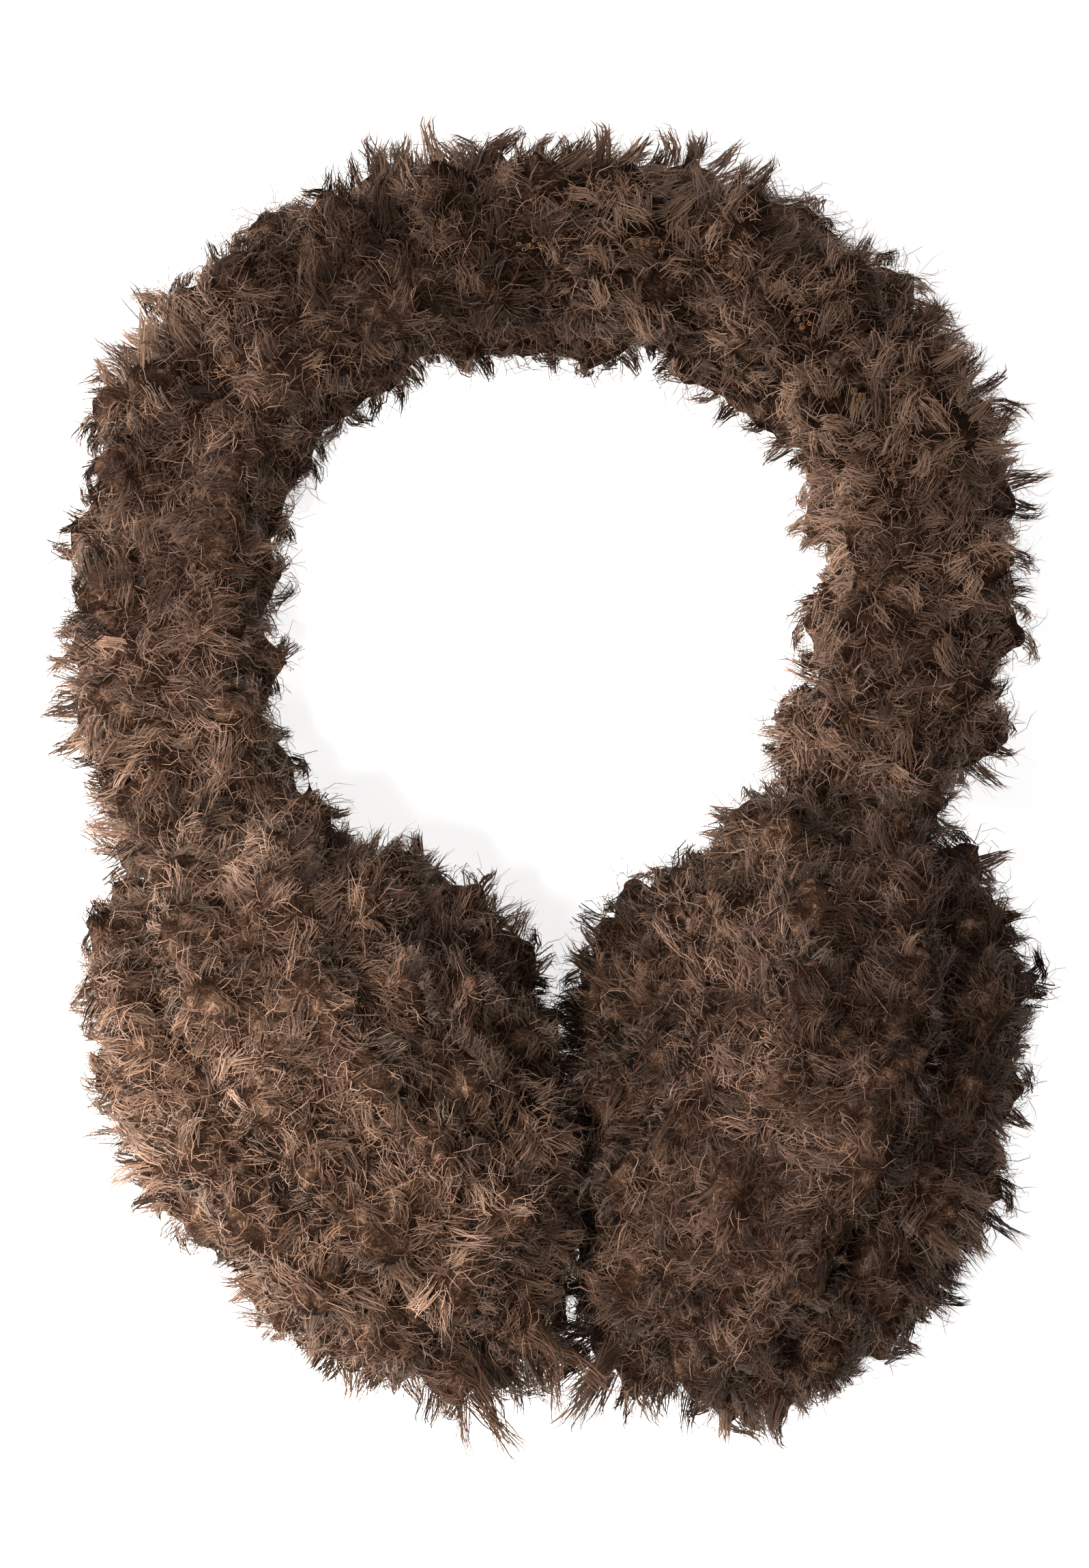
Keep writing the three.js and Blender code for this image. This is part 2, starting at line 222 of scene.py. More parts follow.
# The seam along the band's upper edge, where the pile parts, and how much knit backing shows there
SEAM = [
    {"x": -63 * MM, "y": 62 * MM, "bare": 0.0 * MM},
    {"x": -57 * MM, "y": 73 * MM, "bare": 2.0 * MM},
    {"x": -42 * MM, "y": 86 * MM, "bare": 0.0 * MM},
    {"x": -22 * MM, "y": 93 * MM, "bare": 0.0 * MM},
    {"x": -3 * MM, "y": 95 * MM, "bare": 2.2 * MM},
    {"x": 18 * MM, "y": 95 * MM, "bare": 3.2 * MM},
    {"x": 31 * MM, "y": 91 * MM, "bare": 3.6 * MM},
    {"x": 45 * MM, "y": 81 * MM, "bare": 2.8 * MM},
    {"x": 55 * MM, "y": 68 * MM, "bare": 1.6 * MM},
    {"x": 61 * MM, "y": 54 * MM, "bare": 2.6 * MM},
    {"x": 63 * MM, "y": 40 * MM, "bare": 0.0 * MM},
]
SEAM_REACH = 8 * MM
SEAM_PUSH = 2.4
SEAM_FACING = 0.35

# Yarn loops of the knit backing that show where the seam is bare
LOOPS_PER_MM = 5
LOOP_SPREAD = 0.7 * MM
LOOP_LIFT = 3.6 * MM
LOOP_RADIUS = 0.3 * MM
LOOP_SIDES = 8
LOOP_UPRIGHT = 1.2
LOOP_TILT = 0.5
YARN_RADIUS = 0.11 * MM
YARN_SIDES = 4
YARN_TINT = (0.27, 0.125, 0.055, 1.0)
DARK_YARN = 0.35
DYE_PER_METRE = 1500.0

# Every pile: the solid it covers, the side of it, its seed and how light its wool is, from 0 to 1. How
# light the piles are differs partly as painted light and shade: the right half of the band and the left cup
# are painted lighter, the left half of the band and the right cup darker
PILES = [
    {"node": "headband", "name": "headband_left_pile", "side": -1, "seed": 3, "tone": 0.33},
    {"node": "headband", "name": "headband_right_pile", "side": 1, "seed": 4, "tone": 0.57},
    {"node": "left_ear_pad", "name": "left_ear_pad_pile", "side": 0, "seed": 5, "tone": 0.46},
    {"node": "left_outer_cover", "name": "left_cover_pile", "side": 0, "seed": 6, "tone": 0.46},
    {"node": "right_ear_pad", "name": "right_ear_pad_pile", "side": 0, "seed": 7, "tone": 0.24},
    {"node": "right_outer_cover", "name": "right_cover_pile", "side": 0, "seed": 8, "tone": 0.24},
]
NODES = ["headband", "left_ear_pad", "left_outer_cover", "right_ear_pad", "right_outer_cover"]
SLOTS = {one["node"]: one["material_slot"] for one in frame["record"]["subparts"]}

# The most triangles that the hairs of one pile have, by finish
PILE_TRIANGLES = {"band_pile": 174_000, "cup_pile": 127_000}


def unit(vectors):
    """The same directions with length 1."""
    return vectors / np.maximum(np.linalg.norm(vectors, axis=-1, keepdims=True), 1e-12)


def read(items, name, width, kind=np.float32):
    """A property of every item as one array."""
    found = np.empty(len(items) * width, kind)
    items.foreach_get(name, found)
    return found.reshape(-1, width)


# Undercoats

def undercoat_mesh(node):
    """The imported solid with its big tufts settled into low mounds."""
    worker = bpy.data.objects.new(node + "_worker", frame["nodes"][node].data.copy())
    bpy.context.collection.objects.link(worker)
    even = worker.modifiers.new("even_skin", "REMESH")
    even.mode = "VOXEL"
    even.voxel_size = SKIN_STEP
    settled = worker.modifiers.new("settled_tufts", "SMOOTH")
    settled.factor = SKIN_SETTLING
    settled.iterations = SKIN_PASSES
    sunk = worker.modifiers.new("sunk", "DISPLACE")
    sunk.strength = SKIN_SINK
    sunk.mid_level = 1.0
    sunk.direction = "NORMAL"
    graph = bpy.context.evaluated_depsgraph_get()
    mesh = bpy.data.meshes.new_from_object(worker.evaluated_get(graph))
    bpy.data.objects.remove(worker)
    mesh.name = node + "_undercoat"
    mesh.polygons.foreach_set("use_smooth", np.ones(len(mesh.polygons), bool))
    return mesh


def raise_mounds(mesh, skin, roots, comb):
    """Lifts the skin into a leaning mound under each lock, with a dip between the locks."""
    tree = KDTree(len(roots))
    for index, root in enumerate(roots):
        tree.insert(root, index)
    tree.balance()
    found = [tree.find(point) for point in skin.points]
    nearest = np.array([index for _, index, _ in found])
    distance = np.array([distance for _, _, distance in found])
    share = np.clip(1 - (distance / MOUND_RADIUS) ** 2, 0, 1)
    rise = MOUND_HEIGHT * share - MOUND_DIP
    lean = (MOUND_LEAN * MOUND_HEIGHT * share**2)[:, None] * comb[nearest]
    lean[distance > MOUND_RADIUS] = 0
    points = skin.points + rise[:, None] * skin.normals + lean
    points[:, 2] = np.maximum(points[:, 2], FLOOR_CLEARANCE)
    mesh.vertices.foreach_set("co", points.astype(np.float32).ravel())
    mesh.update()


class Skin:
    """The surface that locks stand on, with a tree for finding what lies near it."""

    def __init__(self, mesh):
        mesh.calc_loop_triangles()
        self.points = read(mesh.vertices, "co", 3)
        self.normals = read(mesh.vertices, "normal", 3)
        self.triangles = read(mesh.loop_triangles, "vertices", 3, np.int32)
        self.tree = BVHTree.FromPolygons(self.points.tolist(), self.triangles.tolist())
        corners = self.points[self.triangles]
        sides = np.cross(corners[:, 1] - corners[:, 0], corners[:, 2] - corners[:, 0])
        self.areas = np.linalg.norm(sides, axis=1) / 2

    def scatter(self, count, rng):
        """Places spread evenly over the surface, and the way out of it at each."""
        face = rng.choice(len(self.areas), count, p=self.areas / self.areas.sum())
        weight = rng.dirichlet((1, 1, 1), count)[:, :, None]
        corner = self.triangles[face]
        places = (self.points[corner] * weight).sum(1)
        outward = unit((self.normals[corner] * weight).sum(1))
        return places, outward


def spaced_out(places, spacing):
    """The indices of places that leave at least spacing between each other."""
    tree = KDTree(len(places))
    for index, place in enumerate(places):
        tree.insert(place, index)
    tree.balance()
    free = np.ones(len(places), bool)
    kept = []
    for index, place in enumerate(places):
        if not free[index]:
            continue
        kept.append(index)
        for _, other, _ in tree.find_range(place, spacing):
            free[other] = False
    return np.array(kept)


def is_hidden(place, outward, others):
    """True where another padded piece lies straight against the skin."""
    start = Vector(place)
    way = Vector(outward)
    return any(other.tree.ray_cast(start, way, HIDDEN_REACH)[0] is not None for other in others)


def crease_push(place, others):
    """Which way a lock is pushed by the nearest neighbour, longer the nearer it is."""
    push = Vector((0, 0, 0))
    for other in others:
        nearest, _, _, distance = other.tree.find_nearest(Vector(place), CREASE_REACH)
        if nearest is not None and distance > 0:
            push += (Vector(place) - nearest) * ((1 - distance / CREASE_REACH) / distance)
    return push


def seam_push(places, outward):
    """Which way locks near the band's seam are combed, longer the nearer they stand, and what is bare."""
    line = np.array([(row["x"], row["y"]) for row in SEAM])
    bare = np.array([row["bare"] for row in SEAM])
    best = np.full(len(places), np.inf)
    push = np.zeros_like(places)
    for start, end in zip(line[:-1], line[1:]):
        run = end - start
        share = np.clip((places[:, :2] - start) @ run / (run @ run), 0, 1)
        away = places[:, :2] - (start + share[:, None] * run)
        distance = np.linalg.norm(away, axis=1)
        nearer = distance < best
        best[nearer] = distance[nearer]
        push[nearer, :2] = unit(away[nearer])
    push *= np.clip(1 - best / SEAM_REACH, 0, 1)[:, None]
    push[outward[:, 2] < SEAM_FACING] = 0
    gaps = np.linalg.norm(places[:, None, :2] - line[None], axis=2)
    is_bare = (gaps < bare).any(1) & (outward[:, 2] > SEAM_FACING)
    return push, is_bare


def lock_places(skin, others, row, rng):
    """Where the locks stand: their roots, the way out of the skin, the push of creases and seams, and how
    near a crease they are, from 0 to 1."""
    room = skin.areas.sum() / LOCK_SPACING**2
    places, outward = skin.scatter(int(room * CANDIDATES_PER_LOCK), rng)
    if row["side"]:
        mine = places[:, 0] * row["side"] >= 0
        places = places[mine]
        outward = outward[mine]
    kept = spaced_out(places, LOCK_SPACING)
    is_open = (outward[kept, 2] > UNDERSIDE) | (rng.random(len(kept)) < UNDERSIDE_SHARE)
    shown = [index for index in kept[is_open] if not is_hidden(places[index], outward[index], others)]
    places = places[shown]
    outward = outward[shown]
    pushes = np.array([crease_push(place, others) for place in places])
    nearness = np.clip(np.linalg.norm(pushes, axis=1), 0, 1)
    pushes *= CREASE_PUSH
    if row["node"] != "headband":
        return places, outward, pushes, nearness
    parting, is_bare = seam_push(places, outward)
    pushes += SEAM_PUSH * parting
    return places[~is_bare], outward[~is_bare], pushes[~is_bare], nearness[~is_bare]


# Pile

def swirl(places, wavelength, rng):
    """A smooth field of directions over space, so that neighbouring locks lie alike."""
    field = np.zeros_like(places)
    for _ in range(SWIRL_WAVES):
        way = unit(rng.normal(size=3)) * 2 * math.pi / (wavelength * rng.uniform(*SWIRL_RANGE))
        field += np.sin(places @ way + rng.uniform(0, 2 * math.pi))[:, None] * unit(rng.normal(size=3))
    return field


def along_skin(vectors, outward):
    """The part of each vector that runs along the skin, with length 1."""
    return unit(vectors - outward * (vectors * outward).sum(1, keepdims=True))


def fringe(roots, outward):
    """How much longer each lock is than a plain one, and the way that its patch points."""
    stretch = np.ones(len(roots))
    lean = np.zeros_like(roots)
    for patch in FRINGES:
        middle = np.array([patch["x"], patch["y"]])
        way = np.array([math.cos(math.radians(patch["way"])), math.sin(math.radians(patch["way"])), 0.0])
        is_near = np.linalg.norm(roots[:, :2] - middle, axis=1) < patch["radius"]
        is_near &= outward @ way > FRINGE_FACING
        stretch[is_near] = patch["stretch"]
        lean[is_near] = way
    return stretch, lean


def lock_shapes(is_straight, rng):
    """How locks grow, in radians: the way they leave the skin, how far they have bent over at the tip,
    how far they turn sideways, and the depth and start of their waves."""
    count = len(is_straight)
    leaving = np.radians(rng.uniform(*LEAVING_DEGREES, count))
    straight = rng.uniform(*STRAIGHT_DEGREES, count)
    curled = rng.uniform(*CURLED_DEGREES, count)
    bend = np.radians(np.where(is_straight, straight, curled))
    twist = np.radians(rng.normal(0, TWIST_DEGREES, count))
    depth = rng.uniform(*WAVE_DEPTHS, count)
    phase = rng.uniform(0, 2 * math.pi, count)
    return np.stack([leaving, bend, twist, depth, phase], 1)


def guide_lines(outward, comb, length, shape, stops):
    """Middle lines from the origin, as points at the stops along them."""
    rise, curl, twist, wave, phase = shape.T[:, :, None]
    across = np.cross(outward, comb)
    share = (np.arange(GUIDE_STEPS) + 0.5) / GUIDE_STEPS
    beat = 2 * math.pi * WAVE_BEATS * share + phase
    bend = rise + (curl - rise) * share**BEND_POWER + wave * share * np.sin(beat)
    turn = twist * share + wave * np.cos(beat)
    way = (
        np.cos(bend)[:, :, None] * outward[:, None]
        + (np.sin(bend) * np.cos(turn))[:, :, None] * comb[:, None]
        + (np.sin(bend) * np.sin(turn))[:, :, None] * across[:, None]
    )
    steps = way * (length[:, None, None] / GUIDE_STEPS)
    line = np.concatenate([np.zeros((len(outward), 1, 3)), np.cumsum(steps, axis=1)], axis=1)
    low = np.clip((stops * GUIDE_STEPS).astype(int), 0, GUIDE_STEPS - 1)
    part = (stops * GUIDE_STEPS - low)[:, None]
    return line[:, low] * (1 - part) + line[:, low + 1] * part


def frizz(count, depth, rng):
    """A small waver along each hair, growing towards its tip."""
    phase = rng.uniform(0, 2 * math.pi, (count, 1))
    beats = rng.uniform(*FRIZZ_BEATS, (count, 1))
    wave = np.sin(2 * math.pi * beats * HAIR_STOPS + phase) * HAIR_STOPS * depth
    return wave[:, :, None] * unit(rng.normal(size=(count, 3)))[:, None]


def lock_hairs(locks, per_lock, rng):
    """The hairs of each lock, which come together towards its tip."""
    owner = np.repeat(np.arange(len(locks["roots"])), per_lock)
    count = len(owner)
    outward = locks["outward"][owner]
    comb = locks["comb"][owner]
    shape = locks["shape"][owner] + SHAPE_JITTER * rng.normal(size=(count, len(SHAPE_JITTER)))
    length = locks["length"][owner] * rng.uniform(*HAIR_LENGTHS, count)
    line = guide_lines(outward, comb, length, shape, HAIR_STOPS)
    reach = LOCK_RADIUS * locks["size"][owner] * np.sqrt(rng.random(count))
    angle = rng.uniform(0, 2 * math.pi, count)
    across = np.cross(outward, comb)
    spread = (reach * np.cos(angle))[:, None] * comb + (reach * np.sin(angle))[:, None] * across
    close = locks["closeness"][owner][:, None] * HAIR_STOPS**GATHER_POWER
    points = locks["roots"][owner][:, None] + line + spread[:, None] * (1 - close)[:, :, None]
    return {
        "points": points + frizz(count, HAIR_FRIZZ, rng),
        "outward": outward,
        "width": HAIR_WIDTH * locks["stoutness"][owner] * rng.uniform(*HAIR_STOUTNESS, count),
        "tone": locks["tone"][owner] + HAIR_TONE_SPREAD * rng.normal(size=count),
    }


def stray_hairs(locks, count, rng):
    """Single fine hairs that stand between the locks and catch the light, painted lighter than their locks:
    partly paler hair, partly painted highlight.
    """
    owner = rng.integers(0, len(locks["roots"]), count)
    outward = locks["outward"][owner]
    away = unit(rng.normal(size=(count, 3)))
    way = along_skin(locks["comb"][owner] + STRAY_TURN * away, outward)
    shape = lock_shapes(rng.random(count) < STRAIGHT_SHARE, rng)
    length = LOCK_LENGTH * rng.uniform(*STRAY_LENGTHS, count)
    line = guide_lines(outward, way, length, shape, HAIR_STOPS)
    spread = along_skin(away, outward) * (STRAY_REACH * rng.random(count))[:, None]
    return {
        "points": (locks["roots"][owner] + spread)[:, None] + line + frizz(count, STRAY_FRIZZ, rng),
        "outward": outward,
        "width": STRAY_WIDTH * rng.uniform(*STRAY_STOUTNESS, count),
        # Strays are painted lighter than their locks: partly paler hair, partly painted highlight
        "tone": locks["tone"][owner] + STRAY_PALENESS_AND_GLINT + STRAY_TONE_SPREAD * rng.normal(size=count),
    }


def sections(points, outward):
    """The two ways across each line at its points."""
    along = np.empty_like(points)
    along[:, 1:-1] = points[:, 2:] - points[:, :-2]
    along[:, 0] = points[:, 1] - points[:, 0]
    along[:, -1] = points[:, -1] - points[:, -2]
    along = unit(along)
    flat = unit(np.cross(outward[:, None], along))
    return flat, np.cross(along, flat)


def with_tips(pairs, tips):
    """Pairs of corners along each line, then its tip, in one row for each line."""
    return np.concatenate([pairs.reshape(len(pairs), -1, 3), tips[:, None]], 1)


def ribbons(strands, rng):
    """The corners of every hair, two at each stop but the last and then the tip, and the way that each
    corner is shaded."""
    points = strands["points"]
    flat, upright = sections(points, strands["outward"])
    roll = rng.uniform(-HAIR_ROLL, HAIR_ROLL, len(points))[:, None, None]
    across = (flat * np.cos(roll) + upright * np.sin(roll))[:, :-1]
    half = strands["width"][:, None, None] * HAIR_WIDTHS[:, None] / 2
    body = points[:, :-1]
    corners = with_tips(np.stack([body - across * half, body + across * half], 2), points[:, -1])
    corners[:, :, 2] = np.maximum(corners[:, :, 2], FLOOR_CLEARANCE)
    facing = unit(SKIN_SHADING * strands["outward"][:, None] + (1 - SKIN_SHADING) * upright)
    tilt = HAIR_ROUNDNESS * across
    shading = unit(np.stack([facing[:, :-1] - tilt, facing[:, :-1] + tilt], 2))
    return corners, with_tips(shading, facing[:, -1])


def map_places(strands, rng):
    """Where each corner lies on the map: its streak across, and a row of tone with the length along it."""
    count = len(strands["tone"])
    streak = rng.uniform(MAP_MARGIN, 1 - MAP_MARGIN, count)
    tone = np.clip(strands["tone"] * TONES, 0, TONES - 1).astype(int)
    sideways = HAIR_SPAN * np.append(np.tile([-0.5, 0.5], len(HAIR_STOPS) - 1), 0.0)
    share = np.append(np.repeat(HAIR_STOPS[:-1], 2), HAIR_STOPS[-1])
    share = TONE_MARGIN + (1 - 2 * TONE_MARGIN) * share
    return np.stack([streak[:, None] + sideways, (tone[:, None] + share) / TONES], 2)


def strand_mesh(name, corners, shading, places):
    """One mesh of all the ribbons, each with its place on the map."""
    count, per_strand = corners.shape[:2]
    last = per_strand - 3
    faces = [(low + 1, low, low + 2, low + 3) for low in range(0, last, 2)]
    faces.append((last + 1, last, last + 2))
    face_corners = np.array([corner for face in faces for corner in face])
    loops = (np.arange(count)[:, None] * per_strand + face_corners).ravel()
    sizes = np.tile([len(face) for face in faces], count)

    mesh = bpy.data.meshes.new(name)
    mesh.vertices.add(count * per_strand)
    mesh.vertices.foreach_set("co", corners.astype(np.float32).ravel())
    mesh.loops.add(len(loops))
    mesh.loops.foreach_set("vertex_index", loops.astype(np.int32))
    mesh.polygons.add(len(sizes))
    mesh.polygons.foreach_set("loop_start", (np.cumsum(sizes) - sizes).astype(np.int32))
    mesh.polygons.foreach_set("use_smooth", np.ones(len(sizes), bool))
    mesh.update()
    places = places.reshape(-1, 2)[loops]
    for layer in ("hair", "OFBake"):
        mesh.uv_layers.new(name=layer, do_init=False)
        mesh.uv_layers[layer].uv.foreach_set("vector", places.astype(np.float32).ravel())
    mesh.normals_split_custom_set_from_vertices(shading.reshape(-1, 3).tolist())
    return mesh


def plant(row, skins):
    """The locks that stand on one solid, or on one side of it."""
    rng = np.random.default_rng(row["seed"])
    others = [skins[node] for node in NODES if node != row["node"]]
    roots, outward, pushes, nearness = lock_places(skins[row["node"]], others, row, rng)
    stretch, lean = fringe(roots, outward)
    combing = swirl(roots, COMB_WAVELENGTH, np.random.default_rng(COMB_SEED))
    combing += COMB_SPREAD * rng.normal(size=roots.shape)
    is_fringe = stretch > 1
    is_rim = is_fringe | (np.abs(outward[:, 2]) < RIM_FACING)
    is_point = is_fringe | (is_rim & (rng.random(len(roots)) < POINT_SHARE))
    is_straight = is_point | (rng.random(len(roots)) < STRAIGHT_SHARE)
    size = rng.uniform(*LOCK_SIZES, len(roots))
    patchiness = swirl(roots, PATCH_WAVELENGTH, np.random.default_rng(PATCH_SEED))[:, 0]
    length = LOCK_LENGTH * size * (1 - CREASE_SHORTENING * nearness)
    # Each pile's tone is partly painted light and shade for its side of the object
    tone = row["tone"] + LOCK_TONE_SPREAD * rng.normal(size=len(roots)) + PATCH_TONE * patchiness
    # Locks around the sides and in the fringes are painted lighter, as painted light, and locks near a
    # crease are painted darker, as painted shade
    tone += RIM_PAINTED_LIGHT * is_rim + FRINGE_PAINTED_LIGHT * is_fringe - CREASE_PAINTED_SHADE * nearness
    return {
        "roots": roots,
        "outward": outward,
        "comb": along_skin(combing + pushes + FRINGE_PULL * lean, outward),
        "length": length * np.where(is_point & ~is_fringe, POINT_LENGTH, stretch),
        "size": size,
        "shape": lock_shapes(is_straight, rng),
        "closeness": rng.uniform(*LOCK_CLOSENESS, len(roots)) + POINT_CLOSENESS * is_point,
        "stoutness": np.where(is_rim, RIM_STOUTNESS, 1.0),
        "tone": tone,
    }


def pile_mesh(row, locks):
    """All the hairs of the locks, and the strays between them."""
    rng = np.random.default_rng(row["seed"] + len(PILES))
    hairs = PILE_TRIANGLES[SLOTS[row["node"]]] // HAIR_TRIANGLES
    strays = int(hairs * STRAY_SHARE)
    per_lock = (hairs - strays) // len(locks["roots"])
    parts = (lock_hairs(locks, per_lock, rng), stray_hairs(locks, strays, rng))
    strands = {key: np.concatenate([part[key] for part in parts]) for key in parts[0]}
    return strand_mesh(row["name"], *ribbons(strands, rng), map_places(strands, rng))


def loop_places(skin, rng):
    """Where yarn loops of the backing show, scattered along the bare stretches of the seam."""
    line = np.array([(row["x"], row["y"]) for row in SEAM])
    places = []
    for index, row in enumerate(SEAM):
        along = unit(line[min(index + 1, len(line) - 1)] - line[max(index - 1, 0)])
        sideways = np.array([-along[1], along[0]])
        for _ in range(int(LOOPS_PER_MM * row["bare"] / MM)):
            spot = line[index] + row["bare"] * rng.uniform(-1, 1) * along
            spot += LOOP_SPREAD * rng.normal() * sideways
            ground = skin.tree.ray_cast(Vector((*spot, 1.0)), Vector((0, 0, -1)))[0]
            places.append((*spot, ground.z + LOOP_LIFT))
    return np.array(places)


def knit_mesh(skin):
    """Small rings of yarn, each tilted its own way."""
    rng = np.random.default_rng(len(SEAM))
    places = loop_places(skin, rng)
    count = len(places)
    upright = unit(np.array([0, 0, LOOP_UPRIGHT]) + rng.normal(0, LOOP_TILT, (count, 3)))
    way = along_skin(rng.normal(size=(count, 3)), upright)
    across = np.cross(upright, way)
    turn = (np.arange(LOOP_SIDES) / LOOP_SIDES * 2 * math.pi)[:, None]
    ring = np.cos(turn) * way[:, None] + np.sin(turn) * across[:, None]
    around = (np.arange(YARN_SIDES) / YARN_SIDES * 2 * math.pi)[:, None]
    yarn = np.cos(around) * ring[:, :, None] + np.sin(around) * upright[:, None, None]
    corners = places[:, None, None] + LOOP_RADIUS * ring[:, :, None] + YARN_RADIUS * yarn

    steps = ((0, 0), (1, 0), (1, 1), (0, 1))
    one_loop = [
        [(a + right) % LOOP_SIDES * YARN_SIDES + (b + up) % YARN_SIDES for right, up in steps]
        for a in range(LOOP_SIDES)
        for b in range(YARN_SIDES)
    ]
    first = np.arange(count)[:, None, None] * LOOP_SIDES * YARN_SIDES
    faces = (first + np.array(one_loop)).reshape(-1, 4)
    mesh = bpy.data.meshes.new("headband_seam_knit")
    mesh.from_pydata(corners.reshape(-1, 3).tolist(), [], faces.tolist())
    mesh.polygons.foreach_set("use_smooth", np.ones(len(mesh.polygons), bool))
    return mesh


# Materials

def new_group(name, inputs, outputs):
    """An empty shader node group with named sockets, its nodes and its links."""
    group = bpy.data.node_groups.new(name, "ShaderNodeTree")
    for label, kind, value in inputs:
        socket = group.interface.new_socket(name=label, in_out="INPUT", socket_type=kind)
        socket.default_value = value
    for label, kind in outputs:
        group.interface.new_socket(name=label, in_out="OUTPUT", socket_type=kind)
    start = group.nodes.new("NodeGroupInput")
    end = group.nodes.new("NodeGroupOutput")
    return group, start.outputs, end.inputs


def math_node(tree, operation, first, second=None, clamp=False):
    """The result of one sum, whose inputs are sockets or numbers."""
    node = tree.nodes.new("ShaderNodeMath")
    node.operation = operation
    node.use_clamp = clamp
    for socket, value in zip(node.inputs, (first, second)):
        if value is None:
            continue
        if isinstance(value, (int, float)):
            socket.default_value = value
        else:
            tree.links.new(value, socket)
    return node.outputs[0]


def blend_colours(tree, mode, factor, first, second):
    """Two colours mixed, each a socket or a plain colour."""
    node = tree.nodes.new("ShaderNodeMix")
    node.data_type = "RGBA"
    node.blend_type = mode
    for socket, value in ((node.inputs[0], factor), (node.inputs[6], first), (node.inputs[7], second)):
        if isinstance(value, (int, float, tuple)):
            socket.default_value = value
        else:
            tree.links.new(value, socket)
    return node.outputs[2]


def ramp(tree, factor, stops):
    """A colour ramp through (place, colour) pairs."""
    node = tree.nodes.new("ShaderNodeValToRGB")
    elements = node.color_ramp.elements
    while len(elements) < len(stops):
        elements.new(0.5)
    for element, (place, colour) in zip(elements, stops):
        element.position = place
        element.color = colour
    tree.links.new(factor, node.inputs[0])
    return node.outputs[0]


def grey_ramp(tree, factor, stops):
    """An amount ramped through (place, amount) pairs."""
    return ramp(tree, factor, [(place, (amount, amount, amount, 1.0)) for place, amount in stops])


def noise_along(tree, place, level, scale):
    """Streaks of noise along the map's width, different in each of its rows."""
    node = tree.nodes.new("ShaderNodeTexNoise")
    node.noise_dimensions = "1D"
    node.inputs["Scale"].default_value = scale
    node.inputs["Detail"].default_value = STREAK_DETAIL
    shift = math_node(tree, "MULTIPLY", level, ROW_SHIFT)
    tree.links.new(math_node(tree, "ADD", place, shift), node.inputs["W"])
    return node.outputs[0]


def hair_colour_group():
    """Colour of a hair from its tone, its streak and the share of its length, with painted shade at its
    root and a lighter tip that is partly paler hair and partly painted light.
    """
    colour = (0.5, 0.5, 0.5, 1.0)
    tree, given, made = new_group(
        "hair_colour",
        [
            ("Dark", "NodeSocketColor", colour),
            ("Middle", "NodeSocketColor", colour),
            ("Light", "NodeSocketColor", colour),
            ("Warm", "NodeSocketColor", colour),
            ("Root Shade", "NodeSocketFloat", 0.4),
            ("Pale Tips and Painted Light", "NodeSocketFloat", 0.3),
            ("Streak Contrast", "NodeSocketFloat", 0.7),
        ],
        [("Colour", "NodeSocketColor"), ("Roughness", "NodeSocketFloat")],
    )
    place = tree.nodes.new("ShaderNodeUVMap")
    place.uv_map = "hair"
    split = tree.nodes.new("ShaderNodeSeparateXYZ")
    tree.links.new(place.outputs[0], split.inputs[0])
    row = math_node(tree, "MULTIPLY", split.outputs[1], float(TONES))
    share = math_node(tree, "FRACT", row)
    level = math_node(tree, "FLOOR", row)
    streak = noise_along(tree, split.outputs[0], level, STREAKS)
    warmth = noise_along(tree, split.outputs[0], level, STREAKS / 4)

    swing = math_node(tree, "MULTIPLY", math_node(tree, "SUBTRACT", streak, 0.5), given["Streak Contrast"])
    tone = math_node(tree, "ADD", math_node(tree, "DIVIDE", level, TONES - 1.0), swing, clamp=True)
    low = math_node(tree, "MULTIPLY", tone, 2.0, clamp=True)
    high = math_node(tree, "MULTIPLY_ADD", tone, 2.0, clamp=True)
    high.node.inputs[2].default_value = -1.0
    colour = blend_colours(tree, "MIX", low, given["Dark"], given["Middle"])
    colour = blend_colours(tree, "MIX", high, colour, given["Light"])
    is_warm = grey_ramp(tree, warmth, WARM_STREAKS)
    colour = blend_colours(tree, "MIX", is_warm, colour, given["Warm"])
    # Painted shade towards the root, and a lighter tip that is partly painted light
    root = grey_ramp(tree, share, ROOT_SHADES)
    root = math_node(tree, "MULTIPLY", root, given["Root Shade"])
    colour = blend_colours(tree, "MIX", root, colour, given["Dark"])
    tip = grey_ramp(tree, share, TIP_PALENESS_AND_PAINTED_LIGHT)
    tip = math_node(tree, "MULTIPLY", tip, given["Pale Tips and Painted Light"])
    tree.links.new(blend_colours(tree, "MIX", tip, colour, given["Light"]), made["Colour"])
    rough = math_node(tree, "MULTIPLY_ADD", tone, -LIGHT_HAIR_SMOOTHING)
    rough.node.inputs[2].default_value = DARK_HAIR_ROUGHNESS
    tree.links.new(rough, made["Roughness"])
    return tree


def vector_node(tree, operation, first, second):
    """The result of one vector sum, whose inputs are sockets or triples."""
    node = tree.nodes.new("ShaderNodeVectorMath")
    node.operation = operation
    for socket, value in zip(node.inputs, (first, second)):
        if isinstance(value, tuple):
            socket.default_value = value
        else:
            tree.links.new(value, socket)
    return node.outputs[0]


